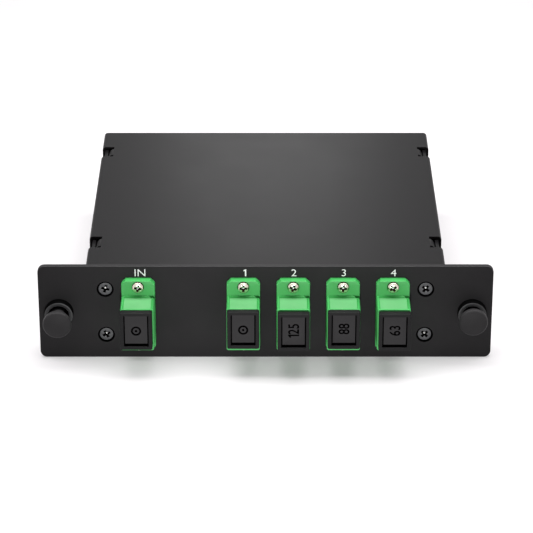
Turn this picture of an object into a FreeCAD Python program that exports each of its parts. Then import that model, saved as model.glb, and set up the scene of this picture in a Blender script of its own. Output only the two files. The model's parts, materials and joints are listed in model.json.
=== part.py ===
import FreeCAD, Part
import math
import os
import re
import Sketcher

# A fibre splitter cassette: a folded steel box behind a flat front panel that
# carries one input port and four output ports, with a push-pull fastener at
# each end of the panel. Millimetres, +Z up, the ports face -Y. The origin is
# the centre of the box's underside.

SIZES = {
    # Front panel, a flat steel plate.
    "panel_width": 130.0,
    "panel_height": 29.0,
    "panel_thickness": 1.5,
    "panel_corner_radius": 2.0,
    # Box: a folded tray with a folded cover over it.
    "housing_width": 102.8,
    "housing_height": 28.5,
    "housing_depth": 99.0,
    "tray_sheet": 1.0,
    "cover_sheet": 0.8,
    "fold_inside_radius": 0.3,
    "cover_clearance": 0.15,
    "cover_hem_height": 0.6,
    "panel_joint_clearance": 0.05,
    "tray_corner_slit": 0.4,
    "tray_flange_width": 8.2,
    # Notches along the top edges of the cover, each with a lanced clip.
    "notch_start": 12.4,
    "notch_length": 7.3,
    "notch_pitch": 66.8,
    "notch_width": 3.7,
    "notch_drop": 5.0,
    "clip_front_relief": 1.0,
    "clip_rear_relief": 1.6,
    "clip_bulge": 1.5,
    "clip_drop": 6.5,
    "clip_bend_radius": 1.4,
    "clip_corner_cut": 1.1,
    # Countersunk screws that hold the tray to the panel.
    "panel_screw_inset": 5.6,
    "panel_screw_spacing": 14.5,
    "countersink_radius": 2.4,
    "panel_screw_head_radius": 1.95,
    "panel_screw_rim": 0.1,
    "panel_screw_radius": 1.0,
    "panel_screw_length": 6.0,
    "panel_screw_cross": 2.4,
    "panel_screw_cross_width": 0.5,
    "panel_screw_cross_depth": 0.6,
    "screw_hole_clearance": 0.1,
    "drawn_collar_wall": 0.7,
    "drawn_collar_length": 1.6,
    # Ports.
    "port_pitch": 14.2,
    "input_distance": 30.0,
    "adapter_width": 9.4,
    "adapter_height": 12.9,
    "adapter_front_length": 11.4,
    "adapter_rear_length": 15.4,
    "adapter_wall": 0.9,
    "adapter_lip_length": 3.0,
    "flange_width": 9.5,
    "flange_height": 22.0,
    "flange_thickness": 2.4,
    "flange_chamfer": 1.2,
    "cutout_clearance": 0.1,
    "mouth_width": 7.6,
    "mouth_height": 9.2,
    "key_width": 3.0,
    "key_depth": 0.45,
    "adapter_bevel": 0.35,
    "face_margin": 0.9,
    "face_depth": 0.3,
    "ear_hole_radius": 1.15,
    "ear_hole_spacing": 18.3,
    "scallop_radius": 12.0,
    "scallop_depth": 0.55,
    "scallop_length": 0.9,
    "corner_nick": 1.5,
    # Latch insert and alignment sleeve inside each adapter.
    "insert_clearance": 0.05,
    "insert_plate": 1.2,
    "holder_radius": 2.4,
    "holder_lip": 0.6,
    "ferrule_radius": 1.25,
    "sleeve_radius": 1.6,
    "sleeve_length": 11.4,
    "sleeve_slit": 0.5,
    "sleeve_clearance": 0.06,
    "latch_width": 3.4,
    "latch_thickness": 0.8,
    "latch_reach": 7.6,
    "latch_hook": 0.7,
    "latch_hook_length": 1.5,
    # Dust caps.
    "cap_width": 8.9,
    "cap_height": 11.5,
    "cap_rise": 0.8,
    "cap_thickness": 2.0,
    "cap_frame": 1.05,
    "cap_sill": 1.0,
    "cap_recess": 0.45,
    "cap_side_groove": 0.35,
    "cap_foot_groove": 0.85,
    "cap_groove_depth": 1.0,
    "cap_bevel": 0.3,
    "gate_ring_radius": 1.38,
    "gate_button_radius": 1.0,
    "gate_dimple_radius": 0.35,
    "gate_depth": 0.3,
    "plug_clearance": 0.1,
    "plug_wall": 0.8,
    "plug_collar": 3.4,
    "plug_tongue": 6.6,
    # Adapter screws and nuts.
    "adapter_screw_radius": 1.0,
    "adapter_screw_head_radius": 1.65,
    "adapter_screw_head_height": 1.2,
    "adapter_screw_length": 8.0,
    "adapter_screw_bevel": 0.4,
    "adapter_screw_cross": 2.0,
    "adapter_screw_cross_width": 0.4,
    "adapter_screw_cross_depth": 0.6,
    "nut_across_flats": 4.0,
    "nut_thickness": 1.6,
    "thread_clearance": 0.04,
    "head_seat_clearance": 0.02,
    # Push-pull fasteners.
    "fastener_inset": 5.8,
    "grommet_radius": 3.4,
    "grommet_shoulder_radius": 3.6,
    "grommet_collar_radius": 4.15,
    "grommet_collar_bevel": 0.35,
    "grommet_collar": 2.5,
    "grommet_reach": 8.0,
    "grommet_clearance": 0.1,
    "grommet_mouth_radius": 3.0,
    "grommet_mouth_depth": 1.0,
    "grommet_bore_radius": 2.7,
    "grommet_slot": 0.8,
    "plunger_radius": 2.05,
    "plunger_clearance": 0.05,
    "plunger_head_length": 2.0,
    "plunger_stroke": 4.5,
    "knob_radius": 4.08,
    "knob_thickness": 2.3,
    "knob_crown": 0.35,
    "knob_crown_radius": 3.6,
    "knob_edge": 0.9,
    "knob_back_bevel": 0.6,
    "left_knob_gap": 4.5,
    "right_knob_gap": 3.0,
    # Splitter module and fibre guides on the tray floor.
    "splitter_length": 50.0,
    "splitter_width": 7.0,
    "splitter_height": 4.0,
    "splitter_setback": 58.0,
    "splitter_edge_radius": 0.4,
    "pad_thickness": 0.8,
    "pad_length": 40.0,
    "boot_length": 7.0,
    "boot_width": 5.0,
    "boot_height": 2.6,
    "boot_tip_width": 3.0,
    "boot_tip_height": 1.6,
    "guide_spacing_across": 72.0,
    "guide_spacing_along": 46.0,
    "guide_first": 30.0,
    "guide_base": 10.0,
    "guide_base_thickness": 1.0,
    "guide_radius": 4.0,
    "guide_wall": 1.0,
    "guide_width": 5.0,
    "guide_opening": 2.4,
    "stop_gap": 0.1,
}

PORTS = ("in", "1", "2", "3", "4")
# How far each cap stands out of its port, as they were pushed in by hand.
CAP_LIFTS = {"in": 0.45, "1": 0.0, "2": 0.7, "3": 0.05, "4": 0.6}
# The caps whose face shows the round mark of the mould's gate.
GATED_CAPS = ("in", "1")
# How many degrees each screw's cross is turned, as the driver left it.
PANEL_SCREW_TURNS = (15, 62, 38, 45)
ADAPTER_SCREW_TURNS = (10, 50, 0, 30, 20, 70, 5, 40, 60, 25)

PANEL_BACK = "-housing_depth / 2"
PANEL_FRONT = "-housing_depth / 2 - panel_thickness"
PANEL_MIDDLE = "panel_height / 2"
TRAY_HALF = "(housing_width / 2 - cover_sheet - cover_clearance)"
ADAPTER_MIDDLE = "(adapter_rear_length - adapter_front_length) / 2"
BORE_HALF_HEIGHT = "(adapter_height / 2 - adapter_wall)"

SKETCH_PLANES = {"X": "YZ_Plane", "Y": "XZ_Plane", "Z": "XY_Plane"}


def formula(text):
    """Puts the sheet's name before each alias in an expression."""
    return re.sub(r"[a-z][a-z_0-9]*", lambda word: "Sizes." + word[0] if word[0] in SIZES else word[0], text)


def make_sheet(doc):
    sheet = doc.addObject("Spreadsheet::Sheet", "Sizes")
    for row, (alias, size) in enumerate(SIZES.items(), start=1):
        sheet.set(f"A{row}", alias)
        sheet.set(f"B{row}", str(size))
        sheet.setAlias(f"B{row}", alias)
    doc.recompute()
    return sheet


# ---- Modelling steps shared by the sub-parts ----

def new_body(doc, label, across="0", along="0", up="0"):
    body = doc.addObject("PartDesign::Body", "Body")
    body.Label = label
    body.setExpression("Placement.Base.x", formula(across))
    body.setExpression("Placement.Base.y", formula(along))
    body.setExpression("Placement.Base.z", formula(up))
    return body


def origin_feature(body, role):
    return next(feature for feature in body.Origin.OriginFeatures if feature.Role == role)


def new_sketch(body, axis, offset):
    """A sketch across the axis. Across Y, it lies on the XZ plane, which faces -Y."""
    sketch = body.newObject("Sketcher::SketchObject", "Sketch")
    sketch.AttachmentSupport = [(origin_feature(body, SKETCH_PLANES[axis]), "")]
    sketch.MapMode = "FlatFace"
    sign = "-" if axis == "Y" else ""
    sketch.setExpression("AttachmentOffset.Base.z", formula(f"{sign}({offset})"))
    return sketch


def pin_points(sketch, points):
    """Holds each (geometry, end, across, up) at its expressions, from the sketch's origin."""
    constraints = []
    for geometry, end, _, _ in points:
        constraints.append(Sketcher.Constraint("DistanceX", -1, 1, geometry, end, 1.0))
        constraints.append(Sketcher.Constraint("DistanceY", -1, 1, geometry, end, 1.0))
    first = sketch.addConstraint(constraints)[0]
    for number, (_, _, across, up) in enumerate(points):
        sketch.setExpression(f"Constraints[{first + 2 * number}]", formula(across))
        sketch.setExpression(f"Constraints[{first + 2 * number + 1}]", formula(up))


def add_polygon(sketch, corners):
    first = sketch.GeometryCount
    count = len(corners)
    around = [FreeCAD.Vector(math.cos(turn), math.sin(turn), 0)
              for turn in (2 * math.pi * number / count for number in range(count))]
    lines = [Part.LineSegment(around[number], around[(number + 1) % count]) for number in range(count)]
    sketch.addGeometry(lines)
    sketch.addConstraint([
        Sketcher.Constraint("Coincident", first + number, 2, first + (number + 1) % count, 1)
        for number in range(count)])
    pin_points(sketch, [(first + number, 1, across, up) for number, (across, up) in enumerate(corners)])


def add_rectangle(sketch, left, bottom, right, top):
    add_polygon(sketch, [(left, bottom), (right, bottom), (right, top), (left, top)])


def add_circle(sketch, across, up, radius):
    circle = sketch.addGeometry(Part.Circle(FreeCAD.Vector(0, 0, 0), FreeCAD.Vector(0, 0, 1), 1.0))
    pin_points(sketch, [(circle, 3, across, up)])
    number = sketch.addConstraint(Sketcher.Constraint("Radius", circle, 1.0))
    sketch.setExpression(f"Constraints[{number}]", formula(radius))


def extrude(body, kind, axis, start, end, draw):
    """Pads or pockets what draw(sketch) draws, from start to end along +axis."""
    sketch = new_sketch(body, axis, start)
    draw(sketch)
    feature = body.newObject(f"PartDesign::{kind}", kind)
    feature.Profile = sketch
    # A pad leaves the sketch's front and a pocket its back, and the XZ plane faces -Y.
    feature.Reversed = (kind == "Pad") == (axis == "Y")
    feature.setExpression("Length", formula(f"({end}) - ({start})"))
    return feature


def pad(body, axis, start, end, draw):
    return extrude(body, "Pad", axis, start, end, draw)


def pocket(body, axis, start, end, draw):
    return extrude(body, "Pocket", axis, start, end, draw)


def box(left, bottom, right, top):
    """Draws one rectangle, for pad and pocket."""
    return lambda sketch: add_rectangle(sketch, left, bottom, right, top)


def centred_box(width, height, up="0"):
    return box(f"-({width}) / 2", f"{up} - ({height}) / 2", f"({width}) / 2", f"{up} + ({height}) / 2")


def disc(radius, across="0", up="0"):
    return lambda sketch: add_circle(sketch, across, up, radius)


def add_facets(sketch, radius, sides, across="0", up="0"):
    """A small repeated round as a regular polygon with its corners on the circle."""
    turns = [360 * (number + 0.5) / sides for number in range(sides)]
    add_polygon(sketch, [(f"{across} + ({radius}) * cos({turn} deg)", f"{up} + ({radius}) * sin({turn} deg)")
                         for turn in turns])


def shaft(radius, sides, across="0", up="0"):
    """Draws a polygon whose corners touch the circle from inside."""
    return lambda sketch: add_facets(sketch, radius, sides, across, up)


def bore(radius, sides, across="0", up="0"):
    """Draws a polygon whose flats touch the circle from outside."""
    return lambda sketch: add_facets(sketch, f"({radius}) / cos({180 / sides} deg)", sides, across, up)


def turn(body, kind, corners):
    """A revolution or groove about Y of (radius, y) corners."""
    sketch = new_sketch(body, "Z", "0")
    add_polygon(sketch, corners)
    feature = body.newObject(f"PartDesign::{kind}", kind)
    feature.Profile = sketch
    feature.ReferenceAxis = (sketch, ["V_Axis"])
    feature.Angle = 360
    return feature


def diagonal_slot(width, reach):
    """Draws a slot that runs from the middle outwards at 45 degrees."""
    half = f"({width}) / 2 * cos(45 deg)"
    end = f"({reach}) * cos(45 deg)"
    return lambda sketch: add_polygon(sketch, [(half, f"-{half}"), (f"{end} + {half}", f"{end} - {half}"),
                                               (f"{end} - {half}", f"{end} + {half}"), (f"-{half}", half)])


def polar_copies(body, original, count):
    feature = body.newObject("PartDesign::PolarPattern", "PolarPattern")
    feature.Originals = [original]
    feature.Axis = (origin_feature(body, "Y_Axis"), [""])
    feature.Angle = 360
    feature.Occurrences = count
    body.Tip = feature
    return feature


def edge_names(shape, wanted):
    return [f"Edge{number}" for number, edge in enumerate(shape.Edges, start=1) if wanted(edge)]


def dress(body, kind, amount, wanted):
    """A fillet or chamfer on the edges that wanted(edge) picks."""
    body.Document.recompute()
    base = body.Tip
    feature = body.newObject(f"PartDesign::{kind}", kind)
    feature.Base = (base, edge_names(base.Shape, wanted))
    feature.setExpression("Radius" if kind == "Fillet" else "Size", formula(amount))
    return feature


def runs_along(edge, axis):
    """Whether a straight edge lies along the axis."""
    if len(edge.Vertexes) != 2 or not isinstance(edge.Curve, Part.Line):
        return False
    step = edge.Vertexes[1].Point - edge.Vertexes[0].Point
    return abs(abs(step.normalize()[axis]) - 1) < 1e-6


def near(number, target):
    return abs(number - target) < 1e-4


def in_front_plane(body):
    """Picks the edges that lie in the body's foremost plane."""
    body.Document.recompute()
    front = body.Tip.Shape.BoundBox.YMin
    return lambda edge: near(edge.BoundBox.YMax, front)


def in_back_plane(body):
    """Picks the edges that lie in the body's rearmost plane."""
    body.Document.recompute()
    back = body.Tip.Shape.BoundBox.YMax
    return lambda edge: near(edge.BoundBox.YMin, back)


def group(doc, label, source, places):
    """One sub-part of several like solids: a compound of links to the source body."""
    links = []
    for across, along, up, turn_degrees in places:
        link = doc.addObject("App::Link", "Link")
        link.LinkedObject = source
        link.LinkTransform = False
        link.Placement.Rotation = FreeCAD.Rotation(FreeCAD.Vector(0, 1, 0), turn_degrees)
        link.setExpression("Placement.Base.x", formula(across))
        link.setExpression("Placement.Base.y", formula(along))
        link.setExpression("Placement.Base.z", formula(up))
        links.append(link)
    compound = doc.addObject("Part::Compound", "Compound")
    compound.Label = label
    compound.Links = links
    return compound


# ---- Where things are ----

def port_position(port):
    """The input stands apart at the left, the outputs in a row to the right."""
    span = "(input_distance + 3 * port_pitch)"
    if port == "in":
        return f"-{span} / 2"
    return f"{span} / 2 - {4 - int(port)} * port_pitch"


def fastener_position(side):
    return f"{side} * (panel_width / 2 - fastener_inset)"


def panel_screw_positions():
    """(x, z from the panel's middle) of the four countersunk screws."""
    across = "(housing_width / 2 - panel_screw_inset)"
    return [(f"{side} * {across}", f"{level} * panel_screw_spacing / 2")
            for side in (-1, 1) for level in (1, -1)]


# ---- Sheet metal ----

def front_panel(doc):
    body = new_body(doc, "front_panel", "0", PANEL_FRONT, PANEL_MIDDLE)
    pad(body, "Y", "0", "panel_thickness", centred_box("panel_width", "panel_height"))
    dress(body, "Fillet", "panel_corner_radius", lambda edge: runs_along(edge, 1))

    half_width = "(adapter_width / 2 + cutout_clearance)"
    half_height = "(adapter_height / 2 + cutout_clearance)"

    def windows(sketch):
        for port in PORTS:
            across = port_position(port)
            add_rectangle(sketch, f"{across} - {half_width}", f"-{half_height}",
                          f"{across} + {half_width}", half_height)

    pocket(body, "Y", "0", "panel_thickness", windows)
    for port in PORTS:
        for level in (-1, 1):
            pocket(body, "Y", "0", "panel_thickness",
                   bore("ear_hole_radius", 12, port_position(port), f"{level} * ear_hole_spacing / 2"))
    for side in (-1, 1):
        pocket(body, "Y", "0", "panel_thickness",
               bore("grommet_shoulder_radius + grommet_clearance", 24, fastener_position(side)))
    countersinks(body)
    return body


def countersinks(body):
    sketch = new_sketch(body, "Y", "0")
    for across, up in panel_screw_positions():
        add_circle(sketch, across, up, "panel_screw_radius + screw_hole_clearance")
    body.Document.recompute()
    hole = body.newObject("PartDesign::Hole", "Hole")
    hole.Profile = sketch
    hole.DepthType = "ThroughAll"
    hole.HoleCutType = "Countersink"
    hole.HoleCutCustomValues = True
    hole.setExpression("Diameter", formula("2 * (panel_screw_radius + screw_hole_clearance)"))
    hole.setExpression("HoleCutDiameter", formula("2 * countersink_radius"))
    hole.HoleCutCountersinkAngle = 90
    return hole


def base_tray(doc):
    """Floor, side walls and rear wall folded up from one sheet, with front flanges for the panel."""
    body = new_body(doc, "base_tray", "0", PANEL_BACK, "0")
    wall_top = "(housing_height - cover_sheet - 2 * cover_clearance)"
    front = "panel_joint_clearance"
    rear = "(housing_depth - cover_sheet - cover_clearance)"
    inner = f"({TRAY_HALF} - tray_sheet)"

    def channel(sketch):
        add_polygon(sketch, [(f"-{TRAY_HALF}", "0"), (TRAY_HALF, "0"), (TRAY_HALF, wall_top),
                             (inner, wall_top), (inner, "tray_sheet"), (f"-{inner}", "tray_sheet"),
                             (f"-{inner}", wall_top), (f"-{TRAY_HALF}", wall_top)])

    pad(body, "Y", front, rear, channel)
    fold_fillets(body, 1, f"{TRAY_HALF}", "tray_sheet")
    for side in (-1, 1):
        # A slit parts the side wall from the rear wall.
        pocket(body, "Y", f"{rear} - tray_sheet - tray_corner_slit", rear,
               side_box(side, inner, f"{TRAY_HALF} + tray_sheet",
                        "tray_sheet + fold_inside_radius", "housing_height"))
    pad(body, "Y", f"{rear} - tray_sheet", rear, box(f"-{inner}", "tray_sheet / 2", inner, wall_top))
    for side in (-1, 1):
        pad(body, "Y", front, f"{front} + tray_sheet",
            side_box(side, f"{TRAY_HALF} - tray_flange_width", f"{TRAY_HALF} - tray_sheet / 2",
                     "2 * tray_sheet", f"{wall_top} - tray_sheet"))
    flange_threads(body, front)
    return body


def side_box(side, inner, outer, bottom, top):
    """A rectangle on one side of the middle plane, from its inner to its outer edge."""
    if side > 0:
        return box(inner, bottom, outer, top)
    return box(f"-({outer})", bottom, f"-({inner})", top)


def fold_fillets(body, axis, half, sheet):
    """Rounds the two lengthwise folds of a channel: the outside first, then the inside."""
    body.Document.recompute()
    low = body.Tip.Shape.BoundBox.ZMin
    half_width = body.Tip.Shape.BoundBox.XMax
    thickness = getattr(body.Document.Sizes, sheet)

    def outside(edge):
        middle = edge.CenterOfMass
        return runs_along(edge, axis) and near(abs(middle.x), half_width) and near(middle.z, low)

    def inside(edge):
        middle = edge.CenterOfMass
        return (runs_along(edge, axis) and near(abs(middle.x), half_width - thickness)
                and near(middle.z, low + thickness))

    dress(body, "Fillet", f"{sheet} + fold_inside_radius", outside)
    dress(body, "Fillet", "fold_inside_radius", inside)


def flange_threads(body, front):
    """Drawn collars behind the front flanges, with the threads' bores."""
    thread = "panel_screw_radius + thread_clearance"
    back = f"{front} + tray_sheet + drawn_collar_length"
    for across, up in panel_screw_positions():
        height = f"{PANEL_MIDDLE} + {up}"
        pad(body, "Y", f"{front} + tray_sheet / 2", back,
            shaft(f"{thread} + drawn_collar_wall", 12, across, height))
        pocket(body, "Y", front, back, bore(thread, 12, across, height))


def top_cover(doc):
    """A folded cover over the tray, notched along its top edges with a lanced clip in each notch."""
    body = new_body(doc, "top_cover", "0", PANEL_BACK, "0")
    front = "panel_joint_clearance"
    half = "housing_width / 2"
    inner = "(housing_width / 2 - cover_sheet)"
    pad(body, "Z", "cover_hem_height", "housing_height", box(f"-{half}", front, half, "housing_depth"))
    sizes = doc.Sizes

    def outer_folds(edge):
        middle = edge.CenterOfMass
        on_top = near(middle.z, sizes.housing_height)
        at_rear = near(middle.y, sizes.housing_depth)
        side_fold = runs_along(edge, 1) and on_top
        rear_fold = runs_along(edge, 0) and on_top and at_rear
        return side_fold or rear_fold or (runs_along(edge, 2) and at_rear)

    dress(body, "Fillet", "cover_sheet + fold_inside_radius", outer_folds)
    pocket(body, "Z", "cover_hem_height", "housing_height - cover_sheet",
           box(f"-{inner}", front, inner, "housing_depth - cover_sheet"))

    def inner_folds(edge):
        middle = edge.CenterOfMass
        inside = sizes.housing_width / 2 - sizes.cover_sheet
        under_top = near(middle.z, sizes.housing_height - sizes.cover_sheet)
        inside_rear = near(middle.y, sizes.housing_depth - sizes.cover_sheet)
        side_fold = runs_along(edge, 1) and under_top and near(abs(middle.x), inside)
        rear_fold = runs_along(edge, 0) and under_top and inside_rear
        return side_fold or rear_fold or (runs_along(edge, 2) and inside_rear)

    dress(body, "Fillet", "fold_inside_radius", inner_folds)
    for number in range(2):
        start = f"notch_start + {number} * notch_pitch"
        for side in (-1, 1):
            notch(body, side, start)
            clip(body, side, start)
    return body


def notch(body, side, start):
    """Cuts the top plate and the upper part of the side flange away."""
    pocket(body, "Y", start, f"{start} + notch_length",
           side_box(side, "housing_width / 2 - notch_width", "housing_width / 2 + cover_sheet",
                    "housing_height - notch_drop", "housing_height + cover_sheet"))


def clip(body, side, start):
    """The tongue lanced from the notch and bent down: it grips the tray's wall from inside."""
    inner = "housing_width / 2 - notch_width"
    outer = f"{inner} + clip_bulge"
    front = f"({start} + clip_front_relief)"
    rear = f"({start} + notch_length - clip_rear_relief)"
    pad(body, "Y", front, rear,
        side_box(side, f"{inner} - cover_sheet", outer, "housing_height - clip_drop", "housing_height"))
    body.Document.recompute()
    sizes = body.Document.Sizes
    outer_x = side * (sizes.housing_width / 2 - sizes.notch_width + sizes.clip_bulge)

    def bend(edge):
        middle = edge.CenterOfMass
        return runs_along(edge, 1) and near(middle.x, outer_x) and near(middle.z, sizes.housing_height)

    dress(body, "Fillet", "clip_bend_radius", bend)
    pocket(body, "Y", front, rear,
           side_box(side, f"{inner} - 2 * cover_sheet", f"{outer} - cover_sheet",
                    "housing_height - clip_drop - cover_sheet", "housing_height - cover_sheet"))

    def rear_corner(sketch):
        add_polygon(sketch, [(f"{side} * ({outer} - clip_corner_cut)", rear), (f"{side} * ({outer})", rear),
                             (f"{side} * ({outer})", f"{rear} - clip_corner_cut")])

    pocket(body, "Z", "housing_height - clip_drop", "housing_height", rear_corner)


# ---- Ports ----

def adapter(doc, port):
    """The moulded adapter: a square tube through the panel, with an ear plate on the panel's face."""
    body = new_body(doc, f"adapter_{port}", port_position(port), PANEL_FRONT, PANEL_MIDDLE)
    front = "-adapter_front_length"
    rear = "adapter_rear_length"
    pad(body, "Y", front, rear, centred_box("adapter_width", "adapter_height"))
    dress(body, "Chamfer", "adapter_bevel", lambda edge: runs_along(edge, 1))
    face_panels(body)
    pad(body, "Y", "-flange_thickness", "0", ear_plate)
    ear_bevels(body)
    bore_height = "adapter_height - 2 * adapter_wall"
    pocket(body, "Y", front, rear, centred_box("mouth_width", "mouth_height"))
    pocket(body, "Y", f"{front} + adapter_lip_length", f"{rear} - adapter_lip_length",
           centred_box("mouth_width", bore_height))
    # The keyway for a plug's key, in one side wall.
    pocket(body, "Y", front, f"{ADAPTER_MIDDLE} - insert_plate",
           box("mouth_width / 2 - key_depth", "-key_width / 2",
               "mouth_width / 2 + key_depth", "key_width / 2"))

    for level in (-1, 1):
        pocket(body, "Y", "-flange_thickness", "0",
               bore("ear_hole_radius", 12, "0", f"{level} * ear_hole_spacing / 2"))
        # A shallow crescent in the face where it meets the ear plate.
        scallop_middle = f"{level} * (adapter_height / 2 - scallop_depth + scallop_radius)"
        pocket(body, "Y", "-flange_thickness - scallop_length", "-flange_thickness",
               disc("scallop_radius", "0", scallop_middle))
        corner_nick(body, level)
    return body


def ear_plate(sketch):
    """The plate's outline, an oblong with its corners cut off."""
    half_width = "flange_width / 2"
    half_height = "flange_height / 2"
    corners = []
    for side, level in ((1, -1), (1, 1), (-1, 1), (-1, -1)):
        low = (f"{side} * {half_width}", f"{level} * ({half_height} - flange_chamfer)")
        high = (f"{side} * ({half_width} - flange_chamfer)", f"{level} * {half_height}")
        corners += [high, low] if side * level < 0 else [low, high]
    add_polygon(sketch, corners)


def ear_bevels(body):
    """Bevels the ends of the plate's front outline, past the body's sides."""
    sizes = body.Document.Sizes

    def front_end(edge):
        middle = edge.CenterOfMass
        past_corners = abs(middle.z) > sizes.flange_height / 2 - sizes.flange_chamfer
        return past_corners and near(edge.BoundBox.YMax, -sizes.flange_thickness)

    dress(body, "Chamfer", "adapter_bevel", front_end)


def face_panels(body):
    """Shallow panels moulded into the top and bottom of the front half, inside a raised border."""
    front = "-adapter_front_length + face_margin"
    back = "-flange_thickness - face_margin"
    half = "(adapter_height / 2)"
    inset = f"({half} - face_depth)"
    width = "(adapter_width / 2 - face_margin)"
    pocket(body, "Y", front, back, box(f"-{width}", inset, width, f"{half} + face_depth"))
    pocket(body, "Y", front, back, box(f"-{width}", f"-{half} - face_depth", width, f"-{inset}"))


def corner_nick(body, level):
    """A slanting nick at the corner where the front half meets the ear plate."""
    side = "adapter_width / 2"
    back = "-flange_thickness"

    def triangle(sketch):
        add_polygon(sketch, [(f"{side} - corner_nick", back), (f"{side} + face_depth", back),
                             (f"{side} + face_depth", f"{back} - corner_nick - face_depth")])

    low = "adapter_height / 2 - adapter_wall / 2"
    high = "adapter_height / 2 + face_depth"
    if level > 0:
        pocket(body, "Z", low, high, triangle)
    else:
        pocket(body, "Z", f"-({high})", f"-({low})", triangle)


def latch_insert(doc, port, end):
    """One half of the adapter's inside: a plate, the holder of the sleeve and two latches.

    It faces the front for end -1 and the rear for end 1, on either side of the adapter's middle."""
    name = "front" if end < 0 else "rear"
    along = f"{PANEL_FRONT} + {ADAPTER_MIDDLE}"
    body = new_body(doc, f"latch_insert_{port}_{name}", port_position(port), along, PANEL_MIDDLE)
    half_width = "(mouth_width / 2 - insert_clearance)"
    half_height = f"({BORE_HALF_HEIGHT} - insert_clearance)"
    seat = "(sleeve_length / 2 + stop_gap)"
    reach = "(insert_plate + latch_reach)"

    def outwards(distance):
        """From the adapter's middle to a distance towards this half's end."""
        return ("0", distance) if end > 0 else (f"-({distance})", "0")

    pad(body, "Y", *outwards("insert_plate"), centred_box(f"2 * {half_width}", f"2 * {half_height}"))
    pad(body, "Y", *outwards(f"{seat} + holder_lip"), shaft("holder_radius", 12))
    pocket(body, "Y", *outwards(seat), bore("sleeve_radius + sleeve_clearance", 12))
    pocket(body, "Y", *outwards(f"{seat} + holder_lip"), bore("ferrule_radius + sleeve_clearance", 12))

    def hook(sketch, level):
        """A latch arm with a hook that points at the sleeve, its lead-in sloping to the tip."""
        outer = f"{level} * {half_height}"
        inner = f"{level} * ({half_height} - latch_thickness)"
        tip = f"{level} * ({half_height} - latch_thickness - latch_hook)"
        crest = f"({reach} - latch_hook_length / 2)"
        heel = f"({reach} - latch_hook_length)"
        root = "(insert_plate / 2)"
        outline = [(root, outer), (reach, outer), (reach, inner), (crest, tip),
                   (heel, tip), (heel, inner), (root, inner)]
        add_polygon(sketch, [(f"{end} * {distance}", up) for distance, up in outline])

    for level in (-1, 1):
        pad(body, "X", "-latch_width / 2", "latch_width / 2", lambda sketch: hook(sketch, level))
    return body


def split_sleeve(doc, port):
    """The ceramic sleeve that lines up two ferrules: a tube slit along its length."""
    along = f"{PANEL_FRONT} + {ADAPTER_MIDDLE}"
    body = new_body(doc, f"split_sleeve_{port}", port_position(port), along, PANEL_MIDDLE)
    half = "sleeve_length / 2"
    pad(body, "Y", f"-{half}", half, shaft("sleeve_radius", 12))
    pocket(body, "Y", f"-{half}", half, bore("ferrule_radius", 12))
    pocket(body, "Y", f"-{half}", half,
           box("-sleeve_slit / 2", "ferrule_radius / 2", "sleeve_slit / 2", "2 * sleeve_radius"))
    return body


def dust_cap(doc, port):
    """A moulded cap: a framed head over the port and a hollow plug inside it."""
    along = f"{PANEL_FRONT} - adapter_front_length - {CAP_LIFTS[port]} - stop_gap"
    body = new_body(doc, f"dust_cap_{port}", port_position(port), along, PANEL_MIDDLE)
    face = "-cap_thickness"
    pad(body, "Y", face, "0", centred_box("cap_width", "cap_height", "cap_rise"))
    dress(body, "Chamfer", "cap_bevel", lambda edge: runs_along(edge, 1))
    floor = f"{face} + cap_recess"
    right = "(cap_width / 2 - cap_frame)"
    left = f"-{right}"
    bottom = "(cap_rise - cap_height / 2 + cap_sill)"
    top = "(cap_rise + cap_height / 2 - cap_sill)"
    pocket(body, "Y", face, floor, box(left, bottom, right, top))

    def grooves(sketch):
        """Side grooves and a wider foot groove set off the recess's floor."""
        add_polygon(sketch, [(left, top), (left, bottom), (right, bottom), (right, top),
                             (f"{right} - cap_side_groove", top),
                             (f"{right} - cap_side_groove", f"{bottom} + cap_foot_groove"),
                             (f"{left} + cap_side_groove", f"{bottom} + cap_foot_groove"),
                             (f"{left} + cap_side_groove", top)])

    def gate_mark(sketch):
        """A sunk ring round a flat button, with a dimple in the button's middle."""
        for radius in ("gate_ring_radius", "gate_button_radius", "gate_dimple_radius"):
            add_facets(sketch, radius, 16, "0", "cap_rise")

    pocket(body, "Y", floor, f"{floor} + cap_groove_depth", grooves)
    if port in GATED_CAPS:
        pocket(body, "Y", floor, f"{floor} + gate_depth", gate_mark)
    plug_width = "(mouth_width - 2 * plug_clearance)"
    plug_height = "(mouth_height - 2 * plug_clearance)"
    pad(body, "Y", "0", "plug_tongue", centred_box(plug_width, plug_height))
    pocket(body, "Y", "0", "plug_tongue",
           centred_box(f"{plug_width} - 2 * plug_wall", f"{plug_height} - 2 * plug_wall"))
    # Past the collar only the side walls go on, between the latches.
    half_tongue = f"({plug_height} / 2 - 2 * plug_wall)"
    for level in (-1, 1):
        low, high = (half_tongue, plug_height) if level > 0 else (f"-{plug_height}", f"-{half_tongue}")
        pocket(body, "Y", "plug_collar", "plug_tongue", box(f"-{plug_width}", low, plug_width, high))
    return body


# ---- Screws and nuts ----

def cross(length, width):
    """Draws a cross-shaped driver recess."""
    reach = f"({length}) / 2"
    half = f"({width}) / 2"
    quarter = [(reach, f"-{half}"), (reach, half), (half, half)]

    def draw(sketch):
        corners = list(quarter)
        corners += [(half, reach), (f"-{half}", reach), (f"-{half}", half)]
        corners += [(f"-{reach}", half), (f"-{reach}", f"-{half}"), (f"-{half}", f"-{half}")]
        corners += [(f"-{half}", f"-{reach}"), (half, f"-{reach}"), (half, f"-{half}")]
        add_polygon(sketch, corners)

    return draw


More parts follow.
